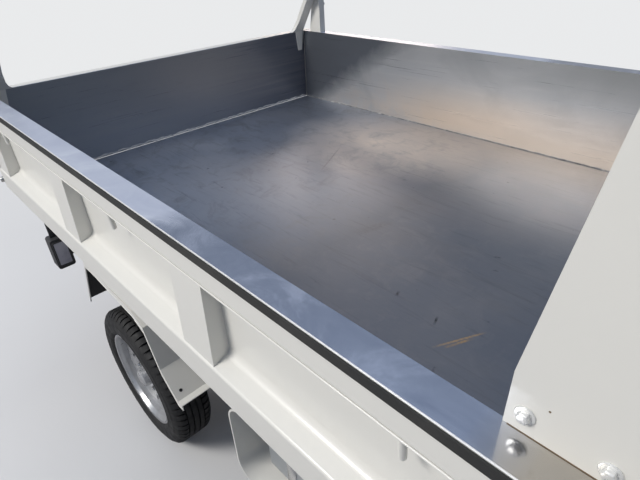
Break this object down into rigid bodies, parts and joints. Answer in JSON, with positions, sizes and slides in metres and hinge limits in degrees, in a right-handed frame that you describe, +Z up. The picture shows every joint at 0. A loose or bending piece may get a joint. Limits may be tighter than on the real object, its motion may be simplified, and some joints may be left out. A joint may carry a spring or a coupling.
{
  "type": "dump truck",
  "caption": "Compact cab-over dump truck with a stainless-lined tipping bed, a top-hung tailgate, a hollow two-door cab and steered front wheels.",
  "frame": {"origin": "on the ground, midway between the truck's front and rear ends and between its sides", "axes": "+X forward, +Y to the truck's left, +Z up"},
  "size_m": [4.25, 2.056, 1.9],
  "materials": {
    "body_paint": "gloss",
    "stainless": "brushed",
    "chassis_paint": "satin",
    "spring_steel": "satin",
    "cast_metal": "rough",
    "exhaust_steel": "dull",
    "tank_paint": "satin",
    "strip_rubber": "matte",
    "lamp_clear": "clear",
    "clear_glass": "clear",
    "cab_trim": "grained",
    "seat_fabric": "woven",
    "bumper_plastic": "grained",
    "rod_chrome": "polished",
    "wheel_alloy": "satin",
    "tyre": "matte"
  },
  "bodies": {
    "chassis": {"chassis_frame": "chassis_paint", "rear_axle": "chassis_paint", "front_axle": "chassis_paint", "leaf_springs": "spring_steel", "engine_block": "cast_metal", "driveshaft": "chassis_paint", "exhaust": "exhaust_steel", "fuel_tank": "tank_paint", "battery_box": "tank_paint", "box_guards": "body_paint", "rear_fenders": "body_paint", "rear_bar": "chassis_paint", "tail_lamps": "bumper_plastic", "cab_shell": "body_paint", "front_panel": "body_paint", "windshield": "clear_glass", "rear_window": "clear_glass", "cab_floor": "cab_trim", "dashboard": "cab_trim", "seats": "seat_fabric", "headlamps": "lamp_clear", "front_bumper": "bumper_plastic", "mirrors": "bumper_plastic"},
    "right_knuckle": {"knuckle_right": "chassis_paint"},
    "left_knuckle": {"knuckle_left": "chassis_paint"},
    "hand_wheel": {"steering_wheel": "cab_trim"},
    "right_door": {"door_right": "body_paint", "door_glass_right": "clear_glass"},
    "left_door": {"door_left": "body_paint", "door_glass_left": "clear_glass"},
    "bed": {"bed_subframe": "body_paint", "side_walls": "body_paint", "bed_liner": "stainless", "rail_strips": "strip_rubber", "headboard": "body_paint", "hinge_posts": "body_paint"},
    "gate": {"tailgate": "body_paint", "tailgate_liner": "stainless"},
    "barrel": {"hoist_barrel": "chassis_paint"},
    "rod": {"hoist_rod": "rod_chrome"},
    "rear_right_wheel": {"wheel_rear_right": "wheel_alloy", "tyre_rear_right": "tyre"},
    "rear_left_wheel": {"wheel_rear_left": "wheel_alloy", "tyre_rear_left": "tyre"},
    "front_right_wheel": {"wheel_front_right": "wheel_alloy", "tyre_front_right": "tyre"},
    "front_left_wheel": {"wheel_front_left": "wheel_alloy", "tyre_front_left": "tyre"}
  },
  "joints": [
    {"name": "bed_tip", "type": "hinge", "parent": "chassis", "child": "bed", "pos_m": [-1.923, 0, 0.665], "axis": [0, -1, 0], "range_deg": [0, 50]},
    {"name": "gate_swing", "type": "hinge", "parent": "bed", "child": "gate", "pos_m": [-1.968, 0, 1.415], "axis": [0, 1, 0], "range_deg": [0, 60]},
    {"name": "hoist_swing", "type": "hinge", "parent": "chassis", "child": "barrel", "pos_m": [-1.623, 0, 0.56], "axis": [0, -1, 0], "range_deg": [0, 57.99]},
    {"name": "hoist_stroke", "type": "slide", "parent": "barrel", "child": "rod", "axis": [0.9806, 0, 0.1961], "range_m": [0, 0.2327]},
    {"name": "steer_right", "type": "hinge", "parent": "chassis", "child": "right_knuckle", "pos_m": [0.884, -0.63, 0.283], "axis": [0, 0, 1], "range_deg": [-33, 33]},
    {"name": "steer_left", "type": "hinge", "parent": "chassis", "child": "left_knuckle", "pos_m": [0.884, 0.63, 0.283], "axis": [0, 0, 1], "range_deg": [-33, 33]},
    {"name": "steering_turn", "type": "hinge", "parent": "chassis", "child": "hand_wheel", "pos_m": [1.257, -0.4, 1.105], "axis": [-0.788, 0, 0.6157], "range_deg": [-462, 462]},
    {"name": "right_door_swing", "type": "hinge", "parent": "chassis", "child": "right_door", "pos_m": [1.629, -0.849, 0.64], "axis": [0, 0, 1], "range_deg": [0, 65]},
    {"name": "left_door_swing", "type": "hinge", "parent": "chassis", "child": "left_door", "pos_m": [1.629, 0.849, 0.64], "axis": [0, 0, -1], "range_deg": [0, 65]},
    {"name": "rear_right_spin", "type": "hinge", "parent": "chassis", "child": "rear_right_wheel", "pos_m": [-1.336, -0.733, 0.283], "axis": [0, 1, 0], "continuous": true},
    {"name": "rear_left_spin", "type": "hinge", "parent": "chassis", "child": "rear_left_wheel", "pos_m": [-1.336, 0.733, 0.283], "axis": [0, 1, 0], "continuous": true},
    {"name": "front_right_spin", "type": "hinge", "parent": "right_knuckle", "child": "front_right_wheel", "pos_m": [0.884, -0.733, 0.283], "axis": [0, 1, 0], "continuous": true},
    {"name": "front_left_spin", "type": "hinge", "parent": "left_knuckle", "child": "front_left_wheel", "pos_m": [0.884, 0.733, 0.283], "axis": [0, 1, 0], "continuous": true}
  ],
  "couplings": [
    {"joint": "hoist_swing", "follows": "bed_tip", "ratio": 1.1588},
    {"joint": "hoist_stroke", "follows": "bed_tip", "m_per_rad": 0.26608},
    {"joint": "steer_left", "follows": "steer_right", "ratio": 1},
    {"joint": "steering_turn", "follows": "steer_right", "ratio": 14}
  ]
}
